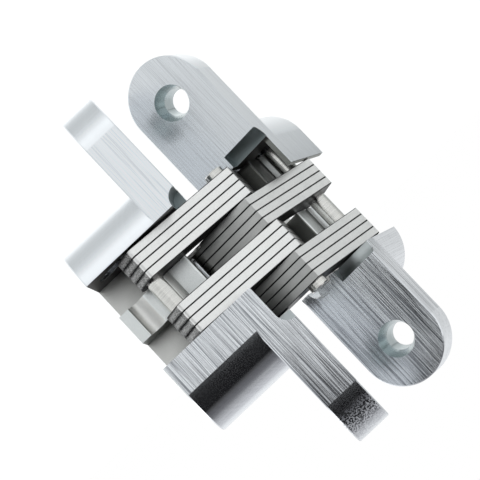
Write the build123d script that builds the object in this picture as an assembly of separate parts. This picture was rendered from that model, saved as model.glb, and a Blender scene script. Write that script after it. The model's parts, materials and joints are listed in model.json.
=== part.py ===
# Concealed barrel hinge with two cast leaves and sixteen crossing link plates.
# Millimetres. Origin at the middle of the jamb leaf's seat, the back of its faceplate.
# X points out through the leaf's front, Y across it to its open side, Z along the pins.
import math
import os

from build123d import *

# Leaf casting
leaf_length = 117.5
leaf_width = 24.4
faceplate_thickness = 10.6
block_length = 63.4
block_depth = 35.0
outline_chamfer = 0.3

# Screw holes
screw_spacing = 90.2
screw_hole_diameter = 7.1
screw_hole_straight = 2.2
countersink_diameter = 10.4
countersink_depth = 4.6
countersink_bottom_diameter = 7.7

# Pocket in the block
closed_wall_thickness = 3.2
side_wall_thickness = 1.6
end_play = 0.48
recess_radius = 3.8
recess_width = 12.1
rib_width = 10.3
rib_side_gap = 0.16
rib_rounding = 0.7
seat_gap = 0.8
near_notch_depth = 11.8
far_notch_depth = 9.2

# Link plates, arms measured from the centre pin
plate_thickness = 2.44
plates_per_group = 4
plate_edge_chamfer = 0.12
group_gap = 0.06
near_arm = 31.97
far_arm = 16.5
far_end_radius = 3.6
near_end_radius = 4.5
heel_angle = 45.0
elbow_back = 3.22
elbow_out = 3.74
shoulder_past_near = 1.13
shoulder_out = 6.82
toe_past_near = 4.1
toe_out = 1.66
shoulder_rounding = 1.0
waist_along = 18.0
waist_in = 2.9
throat_distance = 5.9
throat_rounding = 2.5

# Linkage, angles from the leaf's width direction towards its front
pivot_from_closed_side = 6.5
pivot_depth = 6.05
far_angle_closed = -149.35
near_angle_closed = -100.47
opening_shown = 71.2
opening_full = 180.0
pivot_share = 2 / 3

# Pins
centre_pin_diameter = 5.6
centre_pin_overhang = 2.0
slide_pin_diameter = 5.24
slide_pin_overhang = 2.1
pivot_pin_diameter = 3.4
pivot_pin_grip = 3.0
running_clearance = 0.04
track_clearance = 0.35

# Ears that carry the short pivot pins
ear_thickness = 1.0
ear_radius = 3.25
ear_foot_width = 4.4
ear_side_gap = 0.1
ear_relief_gap = 0.2
travel_gap = 0.3
pin_chamfer = 0.3

# Reach of a cutting tool past a face, and steps in which the slide pin's path is followed
past = 1.0
path_steps = 60

group_width = plates_per_group * plate_thickness
stack_half = 2 * group_width
pocket_half = stack_half + end_play
closed_side = -leaf_width / 2
open_side = leaf_width / 2
pocket_floor = closed_side + closed_wall_thickness
recess_side = open_side - recess_width
pivot_y = closed_side + pivot_from_closed_side
slot_half = far_end_radius + travel_gap
relief_radius = far_end_radius + ear_relief_gap
arm_angle = (near_angle_closed + far_angle_closed) % 360
seat_depth = pivot_depth + far_end_radius + seat_gap
far_groups = [(-group_width, 0.0), (group_width, stack_half)]
near_groups = [(-stack_half, -group_width), (0.0, group_width)]


def along(angle):
    """Unit vector at an angle from the width direction towards the front."""
    turn = math.radians(angle)
    return Vector(math.sin(turn), math.cos(turn), 0)


def centre_at(opening):
    """Centre pin's place in the jamb leaf at an opening angle."""
    pivot = Vector(-pivot_depth, pivot_y, 0)
    return pivot - along(far_angle_closed + pivot_share * opening) * far_arm


def slide_at(opening):
    """Slide pin's place in the jamb leaf at an opening angle."""
    direction = along(near_angle_closed + (1 - pivot_share) * opening)
    return centre_at(opening) + direction * near_arm


def bar(x_range, y_range, z_range):
    """Rectangular block between pairs of coordinates."""
    size = [high - low for low, high in (x_range, y_range, z_range)]
    middle = [(high + low) / 2 for low, high in (x_range, y_range, z_range)]
    return Pos(*middle) * Box(*size)


def rod(place, radius, z_range):
    """Round bar along Z."""
    low, high = z_range
    return Pos(place.X, place.Y, (low + high) / 2) * Cylinder(radius, high - low)


def plate_blank(length, thickness):
    """Round-ended plate whose front lies on the leaf's face plane."""
    face_plane = Plane(origin=(0, 0, 0), x_dir=(0, 0, 1), z_dir=(-1, 0, 0))
    return extrude(face_plane * SlotOverall(length, leaf_width), thickness)


def slide_track(z_range):
    """Curved track swept by the slide pin over the whole opening."""
    low, high = z_range
    # Three points of the pin's path, the turning point of the path between them
    path = [slide_at(opening_full * step / path_steps) for step in range(path_steps + 1)]
    front = max(path, key=lambda place: place.X)
    side = max(path, key=lambda place: place.Y)
    arc = ThreePointArc((path[0].X, path[0].Y), (side.X, side.Y), (front.X, front.Y))
    height = slide_pin_diameter + 2 * track_clearance
    return Pos(0, 0, low) * extrude(SlotArc(arc, height), high - low)


def leaf_casting():
    """One leaf in the jamb leaf's place."""
    faceplate = plate_blank(leaf_length, faceplate_thickness)
    rims = faceplate.faces().filter_by(Axis.X).edges()
    faceplate = chamfer(rims, outline_chamfer)
    block = plate_blank(block_length, block_depth)
    back_rim = block.faces().sort_by(Axis.X)[0].edges()
    block = chamfer(back_rim, outline_chamfer)
    body = faceplate + block

    # Pocket, open at the front, the back and the open side
    pocket = bar(
        (-block_depth - past, past),
        (pocket_floor, open_side + past),
        (-pocket_half, pocket_half),
    )
    for low, high in far_groups:
        top = pocket_half if high == stack_half else high - rib_side_gap
        rib = bar(
            (-block_depth - past, -seat_depth),
            (pocket_floor, pocket_floor + rib_width),
            (low + rib_side_gap, top),
        )
        corner = rib.edges().filter_by(Axis.Z).sort_by(Axis.X)[-2:].sort_by(Axis.Y)[-1]
        pocket -= fillet(corner, rib_rounding)
    pocket -= bar(
        (-block_depth - past, -recess_radius),
        (open_side - side_wall_thickness, open_side + past),
        (group_width + rib_side_gap, pocket_half),
    )
    body -= pocket

    # Slots for the far ends of the links, and their round ends at the face
    for low, high in far_groups:
        body -= bar((-seat_depth, past), (pivot_y - slot_half, pivot_y + slot_half), (low, high))
    for end in (-1, 1):
        slot_end = Plane(origin=(past, pivot_y, end * stack_half), z_dir=(-1, 0, 0))
        body -= extrude(slot_end * Circle(slot_half), seat_depth + past)

    # Rounded recesses that clear the centre pin's ends when the hinge is shut
    for end in (-1, 1):
        recess = Plane(origin=(0, recess_side, end * pocket_half), z_dir=(0, 1, 0))
        body -= extrude(recess * Circle(recess_radius), recess_width + past)

    # Notches in the closed wall for the links at full opening
    notches = [(span, near_notch_depth) for span in near_groups]
    notches += [(span, far_notch_depth) for span in far_groups]
    for (low, high), depth in notches:
        body -= bar((-depth, past), (closed_side - past, pocket_floor), (low, high))

    # Tracks for the slide pin
    reach = stack_half + slide_pin_overhang + travel_gap
    body -= slide_track((-reach, reach))

    # Ears for the short pivot pins
    pivot = Vector(-pivot_depth, pivot_y, 0)
    for edge, side in ((-group_width, 1), (0.0, -1), (group_width, 1)):
        span = sorted((edge + side * ear_side_gap, edge + side * ear_thickness))
        foot_sides = (pivot_y - ear_foot_width / 2, pivot_y + ear_foot_width / 2)
        foot = bar((-seat_depth - past, -pivot_depth), foot_sides, span)
        body += foot + rod(pivot, ear_radius, span)
    for span in pivot_pin_spans():
        body -= rod(pivot, pivot_pin_diameter / 2, span)

    for end in (-1, 1):
        body -= Pos(0, 0, end * screw_spacing / 2) * screw_hole()
    return body


def screw_hole():
    """Screw hole with a steep countersink, a gentle taper and a straight part at the seat."""
    hole_radius = screw_hole_diameter / 2
    bottom_radius = countersink_bottom_diameter / 2
    taper_end = faceplate_thickness - screw_hole_straight
    profile = Polyline(
        (0, 0),
        (0, countersink_diameter / 2),
        (-countersink_depth, bottom_radius),
        (-taper_end, hole_radius),
        (-faceplate_thickness, hole_radius),
        (-faceplate_thickness, 0),
        close=True,
    )
    return revolve(make_face(profile), Axis.X)


def pivot_pin_spans():
    """Lengths taken by the inner and outer pivot pins of the jamb leaf."""
    inner = (-group_width + ear_side_gap, -ear_side_gap)
    outer = (group_width + ear_side_gap, pocket_half + pivot_pin_grip)
    return [inner, outer]


def tangent_point(centre, radius, outside, side):
    """Point where a line from an outside point touches a circle."""
    reach = outside - centre
    lean = math.acos(radius / reach.length)
    heading = math.atan2(reach.Y, reach.X) + side * lean
    return centre + Vector(math.cos(heading), math.sin(heading), 0) * radius


def spoke(angle, length):
    """Point in the link's own plane at an angle in degrees from the near arm."""
    return Vector(length * math.cos(math.radians(angle)), length * math.sin(math.radians(angle)), 0)


def link_face():
    """Dog-leg outline, centre pin at the origin, near arm along X, throat towards Y."""
    near_end = Vector(near_arm, 0, 0)
    far_end = spoke(arm_angle, far_arm)
    elbow = Vector(-elbow_back, -elbow_out, 0)
    shoulder = near_end + Vector(shoulder_past_near, -shoulder_out, 0)
    toe = near_end + Vector(toe_past_near, -toe_out, 0)
    heel = near_end + spoke(2 * heel_angle, near_end_radius)
    waist = Vector(waist_along, waist_in, 0)
    throat = spoke(arm_angle / 2, throat_distance)
    inner_touch = tangent_point(far_end, far_end_radius, throat, 1)
    outer_touch = tangent_point(far_end, far_end_radius, elbow, -1)
    outline = [
        Line(elbow, shoulder),
        Line(shoulder, toe),
        ThreePointArc(toe, near_end + spoke(heel_angle, near_end_radius), heel),
        ThreePointArc(heel, waist, throat),
        Line(throat, inner_touch),
        ThreePointArc(inner_touch, far_end + spoke(arm_angle, far_end_radius), outer_touch),
        Line(outer_touch, elbow),
    ]
    face = make_face(outline)
    for place, radius in ((throat, throat_rounding), (shoulder, shoulder_rounding)):
        face = fillet(face.vertices().sort_by_distance(place)[0], radius)
    return face


def link_plate(span, centre_bore):
    """Door link plate between two heights, in the hinge's shown position."""
    low, high = span
    thickness = high - low
    plate = extrude(link_face(), thickness)
    # Soft edges on the three straight outer sides
    rims = plate.faces().filter_by(Axis.Z).edges().filter_by(GeomType.LINE)
    outer_rims = [rim for rim in rims if rim.center().Y < 0 or rim.center().X < -elbow_back]
    plate = chamfer(outer_rims, plate_edge_chamfer)
    far_end = spoke(arm_angle, far_arm)
    bores = [
        (Vector(0, 0, 0), centre_bore),
        (Vector(near_arm, 0, 0), slide_pin_diameter / 2),
        (far_end, pivot_pin_diameter / 2 + running_clearance),
    ]
    for place, radius in bores:
        plate -= rod(place, radius, (-past, thickness + past))
    # Relief beside each ear of the door leaf
    relief_depth = ear_thickness + ear_side_gap
    half_gap = group_gap / 2
    if any(math.isclose(high + half_gap, edge) for edge in (-group_width, group_width)):
        plate -= rod(far_end, relief_radius, (thickness + half_gap - relief_depth, thickness + past))
    if math.isclose(low, half_gap):
        plate -= rod(far_end, relief_radius, (-past, relief_depth - half_gap))
    direction = along(near_angle_closed + (1 - pivot_share) * opening_shown)
    place = centre_at(opening_shown)
    return Plane(origin=(place.X, place.Y, low), x_dir=direction, z_dir=(0, 0, 1)) * plate


def link_spans():
    """Heights of the eight door link plates."""
    thickness = (group_width - group_gap) / plates_per_group
    spans = []
    for low, high in near_groups:
        start = low + group_gap / 2
        for step in range(plates_per_group):
            spans.append((start + step * thickness, start + (step + 1) * thickness))
    return spans


def turned_over(shape):
    """The same shape on the other leaf, turned over about the line that halves the opening."""
    middle = centre_at(opening_shown)
    return shape.rotate(Axis(middle, along(opening_shown / 2)), 180)


def softened_rod(place, diameter, z_range):
    """Pin with a small chamfer at each end."""
    pin = rod(place, diameter / 2, z_range)
    return chamfer(pin.edges().filter_by(GeomType.CIRCLE), pin_chamfer)


nodes = {}
jamb_leaf = leaf_casting()
nodes["jamb_leaf"] = jamb_leaf
nodes["door_leaf"] = turned_over(jamb_leaf)

snug_bore = centre_pin_diameter / 2
loose_bore = snug_bore + running_clearance
for number, span in enumerate(link_spans(), start=1):
    nodes[f"door_link_{number}"] = link_plate(span, loose_bore)
    nodes[f"jamb_link_{number}"] = turned_over(link_plate(span, snug_bore))

centre_reach = stack_half + centre_pin_overhang
centre = centre_at(opening_shown)
nodes["centre_pin"] = softened_rod(centre, centre_pin_diameter, (-centre_reach, centre_reach))

slide_reach = stack_half + slide_pin_overhang
slide = slide_at(opening_shown)
jamb_slide_pin = softened_rod(slide, slide_pin_diameter, (-slide_reach, slide_reach))
nodes["jamb_slide_pin"] = jamb_slide_pin
nodes["door_slide_pin"] = turned_over(jamb_slide_pin)

pivot_place = Vector(-pivot_depth, pivot_y, 0)
for name, span in zip(("inner", "outer"), pivot_pin_spans()):
    pivot_pin = rod(pivot_place, pivot_pin_diameter / 2, span)
    nodes[f"jamb_pivot_pin_{name}"] = pivot_pin
    nodes[f"door_pivot_pin_{name}"] = turned_over(pivot_pin)

# The leaf is drawn from its front face back, so the whole hinge moves forward to its seat
to_seat = Pos(faceplate_thickness, 0, 0)
os.makedirs("parts", exist_ok=True)
for name, shape in nodes.items():
    export_step(to_seat * shape, f"parts/{name}.step")
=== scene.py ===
"""Dresses a concealed barrel hinge: two brushed cast leaves, sixteen link plates and their pins."""
import json
import logging
from dataclasses import dataclass, field
from enum import Enum

import bpy
from mathutils import Matrix, Vector

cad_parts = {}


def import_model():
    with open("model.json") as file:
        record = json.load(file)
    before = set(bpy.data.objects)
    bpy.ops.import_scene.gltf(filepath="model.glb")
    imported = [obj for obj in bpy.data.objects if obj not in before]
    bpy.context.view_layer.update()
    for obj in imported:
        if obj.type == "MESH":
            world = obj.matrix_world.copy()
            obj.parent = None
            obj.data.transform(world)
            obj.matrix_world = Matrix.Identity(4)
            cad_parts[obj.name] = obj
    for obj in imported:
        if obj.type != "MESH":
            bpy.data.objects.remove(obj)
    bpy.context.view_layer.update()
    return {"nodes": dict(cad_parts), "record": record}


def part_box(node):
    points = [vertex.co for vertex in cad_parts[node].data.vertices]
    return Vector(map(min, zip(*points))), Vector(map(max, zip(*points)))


log = logging.getLogger("hinge")

MM = 0.001
IMAGE_WIDTH_PX = 480
SENSOR_WIDTH_MM = 36.0

Socket = bpy.types.NodeSocket
Span = tuple[float, float]
Triple = tuple[float, float, float]
Colour = Triple
Inputs = dict[str | int, object]

WHITE: Colour = (1.0, 1.0, 1.0)
ALONG_PINS = Vector((0.0, 0.0, 1.0))


class Side(Enum):
    """The side of the doorway that a leaf is let into."""

    JAMB = "jamb"
    DOOR = "door"


class Pattern(Enum):
    """How many of its coordinates a noise changes with."""

    FLAT = "2D"
    SOLID = "3D"


@dataclass(frozen=True)
class Ramp:
    """A smooth change of a result: first at the value low, last at the value high.

    low may be the larger of the two.
    """

    low: float
    high: float
    first: float = 0.0
    last: float = 1.0


def rgba(colour: Colour) -> tuple[float, float, float, float]:
    """Opaque colour with its fourth channel."""
    return (*colour, 1.0)


def even(repeats: float) -> Vector:
    """Repeats per metre, the same along all three axes."""
    return Vector((repeats, repeats, repeats))


class Graph:
    """A material's or the world's node graph, written from left to right."""

    def __init__(self, owner: bpy.types.Material | bpy.types.World) -> None:
        """Clears the owner's graph.

        Args:
            owner: The material or world whose nodes are written.
        """
        owner.use_nodes = True
        self.tree = owner.node_tree
        self.tree.nodes.clear()

    def add(self, kind: str, values: Inputs | None = None, **settings: object) -> bpy.types.Node:
        """Adds a node.

        Args:
            kind: The node's type name without its ShaderNode prefix.
            values: Input socket names or numbers with their values, or with sockets to link.
            settings: The node's own properties.

        Returns:
            The new node.
        """
        node = self.tree.nodes.new("ShaderNode" + kind)
        for name, value in settings.items():
            setattr(node, name, value)
        for name, value in (values or {}).items():
            socket = node.inputs[name]
            if isinstance(value, Socket):
                self.tree.links.new(value, socket)
            else:
                socket.default_value = value
        return node

    def coordinates(self, kind: str) -> Socket:
        """The Texture Coordinate node's output of this kind."""
        return self.add("TexCoord").outputs[kind]

    def parts(self, vector: Socket) -> bpy.types.bpy_prop_collection:
        """A vector's X, Y and Z sockets."""
        return self.add("SeparateXYZ", {"Vector": vector}).outputs

    def math(self, operation: str, *values: object, clamp: bool = False) -> Socket:
        """Adds a Math node.

        Args:
            operation: The Math node's operation.
            values: Numbers or sockets, in the order of its inputs.
            clamp: Whether the result is kept from 0 to 1.

        Returns:
            The result's socket.
        """
        node = self.add("Math", dict(enumerate(values)), operation=operation, use_clamp=clamp)
        return node.outputs[0]

    def product(self, first: object, *others: object) -> Socket:
        """Multiplies numbers or sockets.

        Args:
            first: A number or a socket.
            others: What it is multiplied by, in this order.

        Returns:
            The product's socket.
        """
        for other in others:
            first = self.math("MULTIPLY", first, other)
        return first

    def vector_math(self, operation: str, *values: object) -> bpy.types.Node:
        """Adds a Vector Math node with its inputs in order."""
        return self.add("VectorMath", dict(enumerate(values)), operation=operation)

    def step(self, value: Socket, ramp: Ramp) -> Socket:
        """Maps a value smoothly from one range to another.

        Args:
            value: The socket to map.
            ramp: The range and the results at its two ends.

        Returns:
            The mapped socket.
        """
        inputs = {
            "Value": value,
            "From Min": ramp.low,
            "From Max": ramp.high,
            "To Min": ramp.first,
            "To Max": ramp.last,
        }
        return self.add("MapRange", inputs, interpolation_type="SMOOTHSTEP").outputs["Result"]

    def mix(self, share: object, first: object, second: object) -> Socket:
        """Mixes two colours.

        Args:
            share: How much of the second colour there is, a number or a socket.
            first: A colour or a socket.
            second: A colour or a socket.

        Returns:
            The mixed colour's socket.
        """
        values = {0: share}
        for place, colour in ((6, first), (7, second)):
            values[place] = rgba(colour) if isinstance(colour, tuple) else colour
        return self.add("Mix", values, data_type="RGBA").outputs[2]

    def mix_value(self, share: object, first: object, second: object) -> Socket:
        """Mixes two numbers.

        Args:
            share: How much of the second number there is, a number or a socket.
            first: A number or a socket.
            second: A number or a socket.

        Returns:
            The mixed number's socket.
        """
        return self.add("Mix", {0: share, 2: first, 3: second}, data_type="FLOAT").outputs[0]

    def end_mask(self, turn: Ramp) -> Socket:
        """Is 1 where a face looks along the pins, as on a leaf's round ends.

        Args:
            turn: The part of the normal along the pins over which the mask rises.

        Returns:
            The mask's socket.
        """
        level = self.math("ABSOLUTE", self.parts(self.coordinates("Normal"))["Z"])
        return self.step(level, turn)

    def noise(self, place: Socket, scale: Vector, detail: float = 2.0, roughness: float = 0.5,
              pattern: Pattern = Pattern.SOLID) -> Socket:
        """Adds noise stretched along the axes.

        Args:
            place: The coordinates' socket, in metres.
            scale: Repeats per metre along X, Y and Z.
            detail: Octaves of finer noise.
            roughness: Strength of the finer octaves.
            pattern: Whether the noise changes with X and Y alone or with all three.

        Returns:
            The noise value's socket.
        """
        stretched = self.add("Mapping", {"Vector": place, "Scale": scale}).outputs[0]
        values = {"Vector": stretched, "Scale": 1.0, "Detail": detail, "Roughness": roughness}
        return self.add("TexNoise", values, noise_dimensions=pattern.value).outputs[0]

    def metal(self, values: Inputs) -> None:
        """Ends a material with its one shader.

        Args:
            values: The shader's inputs.
        """
        shader = self.add("BsdfPrincipled", values)
        self.add("OutputMaterial", {"Surface": shader.outputs[0]})


@dataclass(frozen=True)
class Placement:
    """Where a leaf or a link lies: its own axes in the hinge's frame."""

    origin: Vector
    front: Vector
    along: Vector

    def across(self) -> Vector:
        """The way across the piece, on a leaf to its open side."""
        return self.along.cross(self.front)

    def turn(self) -> Matrix:
        """Rotation from the hinge's frame to this piece's own."""
        return Matrix((self.front, self.across(), self.along))

    def local(self, graph: Graph) -> Socket:
        """Coordinates in this piece's own frame.

        Args:
            graph: The graph that needs them.

        Returns:
            The coordinates' socket.
        """
        turn = self.turn()
        values = {
            "Vector": graph.coordinates("Object"),
            "Rotation": turn.to_euler(),
            "Location": -(turn @ self.origin),
        }
        return graph.add("Mapping", values).outputs[0]

    def facing_across(self, graph: Graph, turn: Ramp) -> Socket:
        """Is 1 on faces that look across the piece, to its open or its closed side.

        Args:
            graph: The graph that needs the mask.
            turn: The part of the normal across the piece over which the mask rises.

        Returns:
            The mask's socket.
        """
        facing = graph.vector_math("DOT_PRODUCT", graph.coordinates("Normal"), self.across())
        return graph.step(graph.math("ABSOLUTE", facing.outputs["Value"]), turn)


@dataclass(frozen=True)
class Region:
    """Box in a leaf's own axes that holds one kind of surface and no other, in metres.

    Its level is the distance from the leaf's middle, so one box stands for both ends.
    """

    across: Span
    level: Span
    depth: Span
    edge: float = 0.1 * MM

    def mask(self, graph: Graph, place: Socket) -> Socket:
        """Is 1 inside the box.

        Args:
            graph: The graph that needs the mask.
            place: Coordinates in the leaf's own axes.

        Returns:
            The mask's socket.
        """
        parts = graph.parts(place)
        level = graph.math("ABSOLUTE", parts["Z"])
        return graph.product(self.between(graph, level, self.level),
                             self.between(graph, parts["Y"], self.across),
                             self.between(graph, parts["X"], self.depth))

    def between(self, graph: Graph, value: Socket, limits: Span) -> Socket:
        """Is 1 between two limits.

        Args:
            graph: The graph that needs the mask.
            value: The socket to compare.
            limits: The lower and the upper limit.

        Returns:
            The mask's socket.
        """
        low, high = limits
        above = graph.step(value, Ramp(low - self.edge, low))
        below = graph.step(value, Ramp(high + self.edge, high))
        return graph.product(above, below)


# The pocket, the recess beyond each of its ends, and the screw holes.
POCKET = Region(
    across=(-9.05 * MM, 12.0 * MM), level=(-1.0 * MM, 20.05 * MM), depth=(-30.0 * MM, 10.4 * MM)
)
RECESS = Region(
    across=(0.05 * MM, 12.0 * MM), level=(20.15 * MM, 23.9 * MM), depth=(6.7 * MM, 10.4 * MM)
)
SCREW_HOLE = Region(
    across=(-5.3 * MM, 5.3 * MM), level=(39.8 * MM, 50.4 * MM), depth=(0.2 * MM, 10.45 * MM)
)


@dataclass(frozen=True)
class LeafSurface:
    """Coordinates over a leaf's surface, and masks that are 1 on parts of it.

    place is in the leaf's own axes. unrolled runs round the leaf and then along it.
    """

    place: Socket
    unrolled: Socket
    ends: Socket
    lower: Socket
    speckled_end_and_shade: Socket
    pocket: Socket
    holes: Socket
    recess: Socket
    faces_across: Socket
    brushed: Socket


@dataclass(frozen=True)
class CastFinish:
    """Satin nickel on a cast leaf, brushed along its length and duller in its pocket.

    Patterns are in repeats per metre, and leans of the surface in radians.
    """

    # Colours of the brushed faces, the pocket, the screw holes and the recesses.
    colour: Colour = (0.82, 0.845, 0.875)
    streak_colour: Colour = (0.27, 0.285, 0.31)
    # The pocket's faces across it carry painted light, its other walls painted shade.
    floor_painted_light: Colour = (0.88, 0.88, 0.86)
    rib_painted_light: Colour = (0.97, 1.0, 1.0)
    rib_side_painted_shade: Colour = (0.32, 0.33, 0.31)
    # Painted shade on the pocket's end walls and corners and on the speckled lower end, and the colour
    # of the pocket's dull spots.
    painted_shade_and_spot_colour: Colour = (0.05, 0.048, 0.045)
    # Painted shade in the screw holes.
    hole_painted_shade: Colour = (0.48, 0.54, 0.55)
    # Painted shade in the recesses, lighter at the lower end as a painted reflection.
    upper_recess_painted_shade: Colour = (0.33, 0.38, 0.39)
    lower_recess_painted_shade: Colour = (0.62, 0.66, 0.67)

    # Where the parts of a leaf lie. The lower part is lower in the photograph, at the hinge's +Z end.
    round_ends: Ramp = Ramp(0.01, 0.06)
    side_faces: Ramp = Ramp(0.5, 0.8)
    faceplate: Ramp = Ramp(-0.1 * MM, 0.1 * MM)
    lower_part: Ramp = Ramp(-20.0 * MM, 10.0 * MM)
    rib_front: Ramp = Ramp(0.9 * MM, 1.1 * MM)
    end_walls: Ramp = Ramp(18.5 * MM, 19.5 * MM)

    # Brush marks and speckles lie where their noise is high. Thin dark lines run where another noise
    # passes contour_value, and are strong in bands that are band_width times a brush mark's size.
    streaks_across: float = 5600.0
    streaks_along: float = 36.0
    lines_across: float = 2300.0
    lines_along: float = 24.0
    band_width: float = 5.0
    grain: float = 9000.0
    speckle: float = 2200.0
    contour_value: float = 0.5
    line: Ramp = Ramp(0.11, 0.03)
    end_line: Ramp = Ramp(0.46, 0.58)
    band: Ramp = Ramp(0.35, 0.6, 0.3, 1.0)
    end_share: Ramp = Ramp(0.0, 1.0, 1.0, 0.3)
    upper_share: float = 0.25
    # The lower part's share of the dark lines, larger as a painted dark reflection.
    lower_painted_line_share: float = 0.9
    # Painted shade on the speckled lower round end.
    end_painted_shade: float = 0.12

    # Dull spots in the pocket, and painted shade in its corners.
    spots: Ramp = Ramp(0.60, 0.40, 0.0, 0.1)
    crevice: float = 14.0 * MM
    crevice_rays: int = 8
    crevice_painted_shade: Ramp = Ramp(0.5, 0.1, 0.0, 0.7)

    # Relief, and how far the brush marks lean the surface.
    bump: float = 0.3
    bump_height: float = 0.01 * MM
    grain_relief: float = 0.15
    streak_lean: Ramp = Ramp(0.46, 0.56, -0.3, 0.7)
    streak_tilt: float = 0.095
    side_tilt_share: float = 0.3
    end_tilt: float = 0.05
    sanded_tilt: float = 0.6
    sanded_turn: Ramp = Ramp(0.08, 0.42)

    # Gloss.
    front_roughness: float = 0.25
    side_roughness: float = 0.14
    dull_roughness: float = 0.26
    anisotropy: float = 0.6

    def material(self, name: str, placement: Placement) -> bpy.types.Material:
        """Makes the finish for one leaf.

        Args:
            name: The material's name.
            placement: The leaf's own axes.

        Returns:
            The material.
        """
        made = bpy.data.materials.new(name)
        graph = Graph(made)
        surface = self.surface(graph, placement)
        streaks = self.streaks(graph, surface)
        grain = graph.noise(surface.place, even(self.grain), detail=1.0)
        tangent = graph.vector_math("CROSS_PRODUCT", ALONG_PINS, graph.coordinates("Normal"))
        graph.metal({
            "Base Color": self.all_colours(graph, surface, streaks, grain),
            "Metallic": 1.0,
            "Roughness": self.gloss(graph, surface),
            "Anisotropic": graph.product(surface.brushed, self.anisotropy),
            "Normal": self.relief(graph, surface, streaks, grain),
            "Tangent": tangent.outputs[0],
        })
        return made

    def surface(self, graph: Graph, placement: Placement) -> LeafSurface:
        """Finds the parts of a leaf's surface.

        Args:
            graph: The graph that needs them.
            placement: The leaf's own axes.

        Returns:
            The coordinates and masks.
        """
        place = placement.local(graph)
        parts = graph.parts(place)
        around = graph.math("ADD", parts["X"], parts["Y"])
        unrolled = graph.add("CombineXYZ", {"X": around, "Y": parts["Z"]}).outputs[0]
        ends = graph.end_mask(self.round_ends)
        height = graph.parts(graph.coordinates("Object"))["Z"]
        lower = graph.step(height, self.lower_part)
        pocket = POCKET.mask(graph, place)
        holes = SCREW_HOLE.mask(graph, place)
        recess = RECESS.mask(graph, place)
        bare = graph.math("MAXIMUM", recess, holes)
        return LeafSurface(
            place=place,
            unrolled=unrolled,
            ends=ends,
            lower=lower,
            speckled_end_and_shade=graph.product(ends, graph.step(parts["X"], self.faceplate), lower),
            pocket=pocket,
            holes=holes,
            recess=recess,
            faces_across=placement.facing_across(graph, self.side_faces),
            brushed=graph.math("SUBTRACT", 1.0, graph.math("MAXIMUM", pocket, bare)),
        )

    def fine(self) -> Vector:
        """Repeats of a brush mark across and along the unrolled leaf."""
        return Vector((self.streaks_across, self.streaks_along, 1.0))

    def streaks(self, graph: Graph, surface: LeafSurface) -> Socket:
        """Makes the fine brush marks, and the speckles on a leaf's lower round end.

        Args:
            graph: The graph that needs them.
            surface: The leaf's coordinates and masks.

        Returns:
            The marks' value, from 0 to 1.
        """
        end_fine = Vector((self.streaks_along, self.streaks_across, self.streaks_across))
        flat = graph.noise(surface.unrolled, self.fine(), roughness=0.6, pattern=Pattern.FLAT)
        rounded = graph.noise(surface.place, end_fine, detail=3.0, roughness=0.6)
        speckle = graph.noise(surface.place, even(self.speckle), roughness=0.6)
        streaks = graph.mix_value(surface.ends, flat, rounded)
        return graph.mix_value(surface.speckled_end_and_shade, streaks, speckle)

    def darkness(self, graph: Graph, surface: LeafSurface, streaks: Socket) -> Socket:
        """Makes the thin dark lines of brushing, painted stronger on the hinge's lower part as a dark
        reflection.

        Args:
            graph: The graph that needs them.
            surface: The leaf's coordinates and masks.
            streaks: The brush marks' value.

        Returns:
            The share of the streaks' colour, from 0 to 1.
        """
        coarse = Vector((self.lines_across, self.lines_along, 1.0))
        contour = graph.noise(surface.unrolled, coarse, detail=1.0, pattern=Pattern.FLAT)
        from_contour = graph.math("ABSOLUTE", graph.math("SUBTRACT", contour, self.contour_value))
        line = graph.step(from_contour, self.line)
        broad = graph.noise(surface.unrolled, self.fine() / self.band_width, pattern=Pattern.FLAT)
        dark = graph.mix_value(surface.ends, line, graph.step(streaks, self.end_line))
        return graph.product(dark, graph.step(broad, self.band),
                             graph.mix_value(surface.lower, self.upper_share, self.lower_painted_line_share),
                             graph.step(surface.ends, self.end_share))

    def pocket_colour(self, graph: Graph, surface: LeafSurface, grain: Socket) -> Socket:
        """Colours the pocket: painted light on the faces across it, painted shade on its other walls,
        darkest on the end walls, and darker corners.

        Args:
            graph: The graph that needs the colour.
            surface: The leaf's coordinates and masks.
            grain: The fine grain's value.

        Returns:
            The colour's socket.
        """
        parts = graph.parts(surface.place)
        # Faces across the pocket get painted light, its other faces painted shade.
        lit = graph.mix(graph.step(parts["Y"], self.rib_front), self.floor_painted_light, self.rib_painted_light)
        at_end = graph.step(graph.math("ABSOLUTE", parts["Z"]), self.end_walls)
        shaded_walls = graph.mix(at_end, self.rib_side_painted_shade, self.painted_shade_and_spot_colour)
        within = graph.mix(surface.faces_across, shaded_walls, lit)
        within = graph.mix(graph.step(grain, self.spots), within, self.painted_shade_and_spot_colour)
        # Painted shade in the pocket's corners, darker where ambient occlusion finds less open air.
        open_air = graph.add("AmbientOcclusion", {"Distance": self.crevice}, samples=self.crevice_rays)
        shade = graph.step(open_air.outputs["AO"], self.crevice_painted_shade)
        return graph.mix(shade, within, self.painted_shade_and_spot_colour)

    def all_colours(self, graph: Graph, surface: LeafSurface, streaks: Socket,
                    grain: Socket) -> Socket:
        """Colours the whole leaf.

        Args:
            graph: The graph that needs the colour.
            surface: The leaf's coordinates and masks.
            streaks: The brush marks' value.
            grain: The fine grain's value.

        Returns:
            The colour's socket.
        """
        dark = self.darkness(graph, surface, streaks)
        # Painted shade on the speckled lower round end.
        speckled_end_and_shade = graph.product(surface.speckled_end_and_shade, self.end_painted_shade)
        # Painted shade in the recesses, lighter at the lower end as a painted reflection.
        recess_shade_tone = graph.mix(surface.lower, self.upper_recess_painted_shade, self.lower_recess_painted_shade)
        colour = graph.mix(dark, self.colour, self.streak_colour)
        colour = graph.mix(speckled_end_and_shade, colour, self.painted_shade_and_spot_colour)
        colour = graph.mix(surface.pocket, colour, self.pocket_colour(graph, surface, grain))
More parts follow.
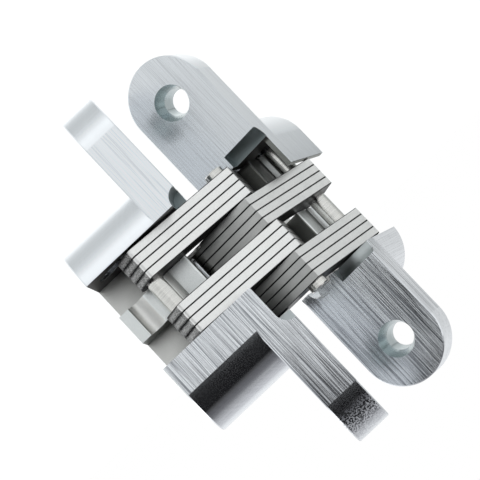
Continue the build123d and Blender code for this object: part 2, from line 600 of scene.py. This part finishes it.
        # Painted shade in the screw holes.
        colour = graph.mix(surface.holes, colour, self.hole_painted_shade)
        return graph.mix(surface.recess, colour, recess_shade_tone)

    def gloss(self, graph: Graph, surface: LeafSurface) -> Socket:
        """Makes the front satin, the sides glossier, and the pocket and recesses duller.

        Args:
            graph: The graph that needs the roughness.
            surface: The leaf's coordinates and masks.

        Returns:
            The roughness's socket.
        """
        rough = graph.mix_value(surface.faces_across, self.front_roughness, self.side_roughness)
        dull = graph.math("MAXIMUM", surface.pocket, surface.recess)
        return graph.math("MULTIPLY_ADD", dull, self.dull_roughness, rough)

    def relief(self, graph: Graph, surface: LeafSurface, streaks: Socket, grain: Socket) -> Socket:
        """Leans the surface a little along the pins, streak by streak, as brushing does.

        Args:
            graph: The graph that needs the normal.
            surface: The leaf's coordinates and masks.
            streaks: The brush marks' value.
            grain: The fine grain's value.

        Returns:
            The leaning normal's socket.
        """
        bump = graph.add("Bump", {
            "Strength": graph.product(surface.brushed, self.bump),
            "Distance": self.bump_height,
            "Height": graph.math("MULTIPLY_ADD", grain, self.grain_relief, streaks),
        })
        tilt = graph.mix_value(surface.ends, self.streak_tilt, self.end_tilt)
        tilt = graph.product(tilt, graph.mix_value(surface.lower, self.upper_share, 1.0),
                             graph.mix_value(surface.faces_across, 1.0, self.side_tilt_share))
        turned = graph.product(surface.speckled_end_and_shade, graph.end_mask(self.sanded_turn))
        tilt = graph.mix_value(turned, tilt, self.sanded_tilt)
        tilt = graph.product(tilt, surface.brushed)
        lean = graph.product(graph.step(streaks, self.streak_lean), tilt)
        along = graph.add("CombineXYZ", {"Z": lean}).outputs[0]
        leaning = graph.vector_math("ADD", bump.outputs[0], along).outputs[0]
        return graph.vector_math("NORMALIZE", leaning).outputs[0]


@dataclass(frozen=True)
class Stack:
    """Heights at which the link plates meet, in metres."""

    base: float
    group: float
    plate: float
    solid_share: float = 0.5

    def seam_mask(self, graph: Graph, place: Socket, width: float) -> Socket:
        """Is 1 at the seams between plates.

        Args:
            graph: The graph that needs the mask.
            place: Coordinates along the pins.
            width: How far the painted shade reaches from a seam.

        Returns:
            The mask's socket.
        """
        above = graph.math("SUBTRACT", graph.parts(place)["Z"], self.base)
        in_group = graph.math("FLOORED_MODULO", above, self.group)
        to_seam = graph.math("PINGPONG", in_group, self.plate / 2)
        return graph.step(to_seam, Ramp(width, width * self.solid_share))


@dataclass(frozen=True)
class PlateFinish:
    """Satin plated steel with painted shade where two plates meet.

    Reaches are measured along the links' near arm, from the centre pin.
    """

    colour: Colour = (0.96, 0.96, 0.95)
    shade_colour: Colour = (0.74, 0.74, 0.73)
    # Painted shade in the gaps between plates.
    seam_painted_shade: Colour = (0.015, 0.015, 0.015)
    # Dark spots on the sheared ends: rough sheared metal, darkened further by painted shade.
    sheared_spot_and_shade_colour: Colour = (0.11, 0.11, 0.11)
    # Painted shade on the far arms, deepening towards their ends.
    far_arm_painted_shade: Colour = (0.22, 0.22, 0.215)
    grain: float = 5200.0
    cloud: float = 240.0
    mottle: Ramp = Ramp(0.35, 0.62, 0.4, 0.0)
    seam_width: float = 0.27 * MM
    end_seam_width: float = 0.7 * MM
    sheared_end: Ramp = Ramp(33.4 * MM, 33.7 * MM)
    end_spots: Ramp = Ramp(0.62, 0.45, 0.35, 1.0)
    past_elbow: Ramp = Ramp(-2.9 * MM, -3.2 * MM)
    far_arm_shade_ramp: Ramp = Ramp(-3.2 * MM, -9.5 * MM, 0.35, 1.0)
    roughness: Ramp = Ramp(0.35, 0.65, 0.32, 0.42)
    specular_level: float = 0.1
    bump: float = 0.35
    bump_height: float = 0.01 * MM

    def material(self, name: str, stack: Stack, placement: Placement) -> bpy.types.Material:
        """Makes the finish of one link pack.

        Args:
            name: The material's name.
            stack: The heights at which its plates meet.
            placement: The links' own axes, the near arm along their front.

        Returns:
            The material.
        """
        made = bpy.data.materials.new(name)
        graph = Graph(made)
        place = graph.coordinates("Object")
        grain = graph.noise(place, even(self.grain), detail=3.0, roughness=0.65)
        cloud = graph.noise(place, even(self.cloud))
        reach = graph.parts(placement.local(graph))["X"]
        # Dark spots on the sheared ends: rough sheared metal, darkened further by painted shade.
        sheared_spots_and_shade = graph.product(graph.step(reach, self.sheared_end), graph.step(grain, self.end_spots))
        # Painted shade along the far arm, deepening towards its end.
        far = graph.product(graph.step(reach, self.past_elbow), graph.step(reach, self.far_arm_shade_ramp))
        # Painted shade in the seams, wider on the sheared ends; the seams are not metallic.
        end_seam_shade = graph.product(stack.seam_mask(graph, place, self.end_seam_width), sheared_spots_and_shade)
        seam_shade = graph.math("MAXIMUM", stack.seam_mask(graph, place, self.seam_width), end_seam_shade)
        colour = graph.mix(graph.step(grain, self.mottle), self.colour, self.shade_colour)
        colour = graph.mix(sheared_spots_and_shade, colour, self.sheared_spot_and_shade_colour)
        colour = graph.mix(far, colour, self.far_arm_painted_shade)
        colour = graph.mix(seam_shade, colour, self.seam_painted_shade)
        bump = graph.add("Bump", {
            "Strength": self.bump,
            "Distance": self.bump_height,
            "Height": grain,
        })
        graph.metal({
            "Base Color": colour,
            "Metallic": graph.math("SUBTRACT", 1.0, seam_shade),
            "Specular IOR Level": self.specular_level,
            "Roughness": graph.step(cloud, self.roughness),
            "Normal": bump.outputs[0],
        })
        return made


@dataclass(frozen=True)
class GroundFinish:
    """Bright ground steel with fine turning marks round it."""

    colour: Colour = (0.83, 0.82, 0.79)
    mark_shade: float = 0.9
    marks_across: float = 120.0
    marks_along: float = 7000.0
    mark: Ramp = Ramp(0.4, 0.7)
    roughness: Ramp = Ramp(0.3, 0.7, 0.14, 0.22)

    def material(self, name: str) -> bpy.types.Material:
        """Makes the finish.

        Args:
            name: The material's name.

        Returns:
            The material.
        """
        made = bpy.data.materials.new(name)
        graph = Graph(made)
        scale = Vector((self.marks_across, self.marks_across, self.marks_along))
        marks = graph.noise(graph.coordinates("Object"), scale)
        dark = tuple(channel * self.mark_shade for channel in self.colour)
        graph.metal({
            "Base Color": graph.mix(graph.step(marks, self.mark), self.colour, dark),
            "Metallic": 1.0,
            "Roughness": graph.step(marks, self.roughness),
        })
        return made


def dress(node: bpy.types.Object, finish: bpy.types.Material) -> None:
    """Gives a piece its finish on every material slot.

    Args:
        node: The piece.
        finish: The material.
    """
    slots = node.material_slots
    if not slots:
        node.data.materials.append(finish)
    for slot in slots:
        slot.material = finish
    log.info("%s: %s", node.name, finish.name)


def dress_all(nodes: dict[str, bpy.types.Object], start: str, finish: bpy.types.Material) -> None:
    """Gives the same finish to every piece whose name starts alike.

    Args:
        nodes: The hinge's solids by name.
        start: The start of the pieces' names.
        finish: The material.
    """
    for name in sorted(nodes):
        if name.startswith(start):
            dress(nodes[name], finish)


@dataclass
class Leaf:
    """One cast leaf with the short pins that its ears hold."""

    side: Side
    placement: Placement
    finish: CastFinish = field(default_factory=CastFinish)

    def dress(self, nodes: dict[str, bpy.types.Object], pin_finish: bpy.types.Material) -> None:
        """Gives the casting and its pins their finishes.

        Args:
            nodes: The hinge's solids by name.
            pin_finish: The finish of ground pins.
        """
        name = f"{self.side.value}_leaf"
        dress(nodes[name], self.finish.material(f"{name}_cast", self.placement))
        dress_all(nodes, f"{self.side.value}_pivot_pin", pin_finish)


@dataclass
class LinkPack:
    """Eight plates that swing together, with the pins pressed into them."""

    side: Side
    pins: tuple[str, ...]
    near_pin: str
    finish: PlateFinish = field(default_factory=PlateFinish)

    def placement(self) -> Placement:
        """Reads the links' own axes from the pins: origin at the centre pin, front to the near pin.

        Returns:
            The placement.
        """
        centre, near = (sum(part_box(pin), Vector()) / 2 for pin in ("centre_pin", self.near_pin))
        return Placement(centre, (near - centre).normalized(), ALONG_PINS)

    def dress(self, nodes: dict[str, bpy.types.Object], stack: Stack,
              pin_finish: bpy.types.Material) -> None:
        """Gives the plates and pins their finishes.

        Args:
            nodes: The hinge's solids by name.
            stack: The heights at which the plates meet.
            pin_finish: The finish of ground pins.
        """
        plate = self.finish.material(f"{self.side.value}_plate", stack, self.placement())
        dress_all(nodes, f"{self.side.value}_link_", plate)
        for name in self.pins:
            dress(nodes[name], pin_finish)


@dataclass(frozen=True)
class Camera:
    """The camera at the photograph's angle, with its place in millimetres from the jamb leaf's seat."""

    place: Triple = (10.39, 511.63, 65.63)
    right: Triple = (0.7266, -0.0862, 0.6816)
    forward: Triple = (0.00634, -0.99125, -0.13212)
    focal_length_px: float = 1916.8
    nearest: float = 10.0 * MM

    def build(self) -> None:
        """Adds the camera and makes it the scene's."""
        data = bpy.data.cameras.new("camera")
        data.sensor_width = SENSOR_WIDTH_MM
        data.lens = self.focal_length_px * SENSOR_WIDTH_MM / IMAGE_WIDTH_PX
        data.clip_start = self.nearest
        seen = bpy.data.objects.new("camera", data)
        forward = Vector(self.forward).normalized()
        level = Vector(self.right)
        right = (level - forward * level.dot(forward)).normalized()
        turn = Matrix((right, right.cross(forward), -forward)).transposed()
        seen.matrix_world = Matrix.Translation(Vector(self.place) * MM) @ turn.to_4x4()
        bpy.context.scene.collection.objects.link(seen)
        bpy.context.scene.camera = seen
        log.info("camera")


@dataclass(frozen=True)
class Floor:
    """Pale floor well below the hinge, in metres. Only mirrored rays see its glow.

    X runs out through the jamb leaf's front, and Y towards the camera.
    """

    level: float = -420.0 * MM
    size: float = 9.0
    colour: Colour = (0.88, 0.91, 0.90)
    lift: float = 0.6

    # The glow goes by the distance from under the hinge, by Y and by X, and is gone in one corner.
    under_hinge: Ramp = Ramp(0.0, 0.6, 0.25, 1.0)
    ring: Ramp = Ramp(2.0, 0.4, 0.85, 1.3)
    behind: Ramp = Ramp(-3.5, -1.0)
    glow: Ramp = Ramp(-0.9, 0.2, 0.34, 0.54)
    side: Ramp = Ramp(0.2, 0.7)
    side_glow: float = 0.35
    corner_side: Ramp = Ramp(1.6, 2.4)
    corner_back: Ramp = Ramp(0.2, -0.6)

    def build(self) -> None:
        """Adds the floor."""
        bpy.ops.object.select_all(action="DESELECT")
        bpy.ops.mesh.primitive_plane_add(size=self.size, location=(0, 0, self.level))
        floor = bpy.context.object
        floor.name = "floor"
        finish = self.material("pale_floor")
        floor.data.materials.append(finish)
        log.info("floor: %s", finish.name)

    def material(self, name: str) -> bpy.types.Material:
        """Makes the floor's finish, white to the camera.

        Args:
            name: The material's name.

        Returns:
            The material.
        """
        made = bpy.data.materials.new(name)
        graph = Graph(made)
        rays = graph.add("LightPath").outputs
        mirrored = graph.math("ADD", rays["Is Glossy Ray"], rays["Is Transmission Ray"], clamp=True)
        strength = graph.product(mirrored, self.mirrored_glow(graph))
        strength = graph.math("MULTIPLY_ADD", rays["Is Camera Ray"], self.lift, strength)
        matte = graph.add("BsdfDiffuse", {"Color": rgba(self.colour)})
        emission = graph.add("Emission", {"Color": rgba(WHITE), "Strength": strength})
        both = graph.add("AddShader", {0: matte.outputs[0], 1: emission.outputs[0]})
        graph.add("OutputMaterial", {"Surface": both.outputs[0]})
        return made

    def mirrored_glow(self, graph: Graph) -> Socket:
        """Makes the floor's glow, weak right below the hinge, and gone far behind it and in a corner.

        Args:
            graph: The graph that needs the glow.

        Returns:
            The glow's socket.
        """
        place = graph.coordinates("Object")
        parts = graph.parts(place)
        distance = graph.vector_math("LENGTH", place).outputs["Value"]
        far = graph.product(graph.step(distance, self.under_hinge), graph.step(parts["Y"], self.behind),
                            graph.step(distance, self.ring))
        glow = graph.mix_value(graph.step(parts["X"], self.side),
                               graph.step(parts["X"], self.glow), self.side_glow)
        corner = graph.product(graph.step(parts["X"], self.corner_side),
                               graph.step(parts["Y"], self.corner_back))
        return graph.product(far, graph.product(glow, graph.math("SUBTRACT", 1.0, corner)))


@dataclass(frozen=True)
class Room:
    """White surroundings with a dim side behind the camera, which polished metal shows.

    Heights and ways are parts of the unit vector that looks out from the hinge.
    """

    colour: Colour = (0.95, 0.96, 0.97)

    # The dim side, a light shade on another side, and a darker part overhead.
    dim_colour: Colour = (0.012, 0.012, 0.013)
    dim_way: Triple = (-0.5, 0.866, 0.0)
    dim_lean: float = 0.2
    dim_side: Ramp = Ramp(0.81, 0.84)
    dim_low: Ramp = Ramp(-0.085, -0.015)
    dim_high: Ramp = Ramp(0.96, 0.84)
    shade_colour: Colour = (0.69, 0.70, 0.70)
    shade_way: Triple = (0.899, -0.438, 0.0)
    shade_side: Ramp = Ramp(0.6, 0.95)
    overhead: Ramp = Ramp(0.6, 0.85)
    overhead_back: Ramp = Ramp(0.3, -0.6)
    overhead_colours: tuple[Colour, Colour] = ((0.10, 0.10, 0.11), (0.62, 0.62, 0.64))

    def build(self) -> None:
        """Makes the world, white to the camera."""
        world = bpy.data.worlds.new("studio")
        bpy.context.scene.world = world
        graph = Graph(world)
        seen = graph.add("LightPath").outputs["Is Camera Ray"]
        colour = graph.mix(seen, self.mirrored_colour(graph), WHITE)
        shader = graph.add("Background", {"Color": colour, "Strength": 1.0})
        graph.add("OutputWorld", {"Surface": shader.outputs[0]})
        log.info("room: %s", world.name)

    def mirrored_colour(self, graph: Graph) -> Socket:
        """Makes the surroundings that the metal shows.

        Args:
            graph: The graph that needs the colour.

        Returns:
            The colour's socket.
        """
        way = graph.coordinates("Generated")
        parts = graph.parts(way)
        height = parts["Z"]
        level = graph.vector_math("MULTIPLY", way, Vector((1, 1, 0))).outputs[0]
        level = graph.vector_math("NORMALIZE", level).outputs[0]
        dim_way = graph.vector_math("DOT_PRODUCT", level, self.dim_way).outputs["Value"]
        leaning = graph.math("MULTIPLY_ADD", height, self.dim_lean, dim_way)
        dim = graph.product(graph.step(height, self.dim_low), graph.step(height, self.dim_high),
                            graph.step(leaning, self.dim_side))
        shade_way = graph.vector_math("DOT_PRODUCT", level, self.shade_way).outputs["Value"]
        overhead = graph.mix(graph.step(parts["Y"], self.overhead_back), *self.overhead_colours)
        room = graph.mix(graph.step(height, self.overhead), self.colour, overhead)
        room = graph.mix(graph.step(shade_way, self.shade_side), room, self.shade_colour)
        return graph.mix(dim, room, self.dim_colour)


@dataclass(frozen=True)
class Lamp:
    """A round soft lamp aimed at the hinge, in metres and watts."""

    name: str
    place: Triple
    size: float
    power: float

    def build(self) -> None:
        """Adds the lamp."""
        data = bpy.data.lights.new(self.name, "AREA")
        data.shape = "DISK"
        data.size = self.size
        data.energy = self.power
        lamp = bpy.data.objects.new(self.name, data)
        place = Vector(self.place)
        aim = (-place).to_track_quat("-Z", "Y").to_matrix().to_4x4()
        lamp.matrix_world = Matrix.Translation(place) @ aim
        bpy.context.scene.collection.objects.link(lamp)
        log.info("lamp: %s", self.name)


@dataclass(frozen=True)
class Studio:
    """Camera, pale floor, white surroundings and soft lamps, around the hinge's seat."""

    camera: Camera = Camera()
    floor: Floor = Floor()
    room: Room = Room()
    lamps: tuple[Lamp, ...] = (
        Lamp("top_lamp", (0.0, 0.0, 1.2), size=1.6, power=0.3),
        Lamp("side_lamp", (-1.2, -0.3, 0.4), size=0.8, power=1.2),
    )

    def build(self) -> None:
        """Makes the whole set."""
        for part in (self.camera, self.floor, self.room, *self.lamps):
            part.build()


def leaf_placements(record: dict) -> dict[Side, Placement]:
    """Reads both leaves' own axes from the hinge's seats.

    Args:
        record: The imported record.

    Returns:
        The placements by side.
    """
    mounts = {mount["name"]: mount for mount in record["mounts"]}
    placements = {}
    for side, along in ((Side.JAMB, ALONG_PINS), (Side.DOOR, -ALONG_PINS)):
        seat = mounts[f"{side.value}_mortise_seat"]
        place = Vector(seat["pos_m"])
        placements[side] = Placement(Vector((place.x, place.y, 0)), -Vector(seat["axis"]), along)
    return placements


def plate_stack() -> Stack:
    """Reads the plates' pitch from two of them.

    Returns:
        The stack.
    """
    first_low, first_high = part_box("door_link_1")
    next_low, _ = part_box("jamb_link_8")
    plate = first_high.z - first_low.z
    return Stack(first_low.z, abs(next_low.z - first_low.z), plate)


def main() -> None:
    """Dresses the hinge and sets the studio round it."""
    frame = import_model()
    scene = bpy.context.scene
    scene.view_settings.view_transform = "Standard"
    nodes = frame["nodes"]
    pin_finish = GroundFinish().material("ground_pin")
    finishes = {Side.JAMB: CastFinish(), Side.DOOR: CastFinish(sanded_tilt=0.05, end_painted_shade=0.0)}
    for side, placement in leaf_placements(frame["record"]).items():
        Leaf(side, placement, finishes[side]).dress(nodes, pin_finish)
    stack = plate_stack()
    for pack in (
        LinkPack(Side.JAMB, ("centre_pin", "door_slide_pin"), "door_slide_pin"),
        LinkPack(Side.DOOR, ("jamb_slide_pin",), "jamb_slide_pin"),
    ):
        pack.dress(nodes, stack, pin_finish)
    Studio().build()


if __name__ == "__main__":
    logging.basicConfig(level=logging.INFO)
    main()
